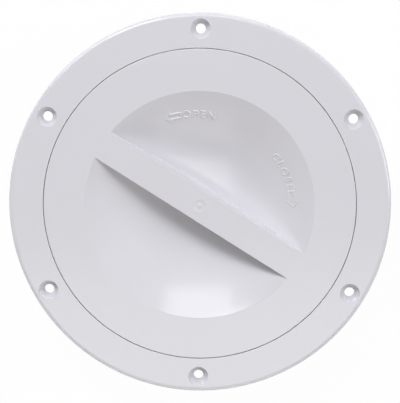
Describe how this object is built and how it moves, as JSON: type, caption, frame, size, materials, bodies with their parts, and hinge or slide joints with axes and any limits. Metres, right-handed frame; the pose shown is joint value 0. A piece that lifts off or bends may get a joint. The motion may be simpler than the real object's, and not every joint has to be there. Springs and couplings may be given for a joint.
{
  "type": "access hatch",
  "caption": "Round screw-in deck hatch: a flanged threaded ring with countersunk holes, and a lid with a bowl-shaped recess and a grip bar across it.",
  "frame": {"origin": "centre of the flange's underside, on the deck's surface", "axes": "+Z out of the deck along the hatch's axis; +Y through one screw hole; the grip bar of the shut lid lies 32 degrees clockwise of +X seen from above"},
  "size_m": [0.205, 0.205, 0.0285],
  "materials": {
    "ring_plastic": "semi-gloss white moulding",
    "lid_plastic": "semi-gloss white moulding",
    "seal_rubber": "matt black"
  },
  "bodies": {
    "ring": {"deck_ring": "ring_plastic"},
    "seal": {"seal_ring": "seal_rubber"},
    "cover": {"lid": "lid_plastic"}
  },
  "joints": [
    {"name": "lid_lift", "type": "slide", "parent": "ring", "child": "seal", "axis": [0, 0, 1], "range_m": [0, 0.024]},
    {"name": "lid_turn", "type": "hinge", "parent": "seal", "child": "cover", "pos_m": [0, 0, 0], "axis": [0, 0, 1], "range_deg": [0, 1440]}
  ],
  "couplings": [
    {"joint": "lid_lift", "follows": "lid_turn", "m_per_rad": 0.0009549}
  ]
}
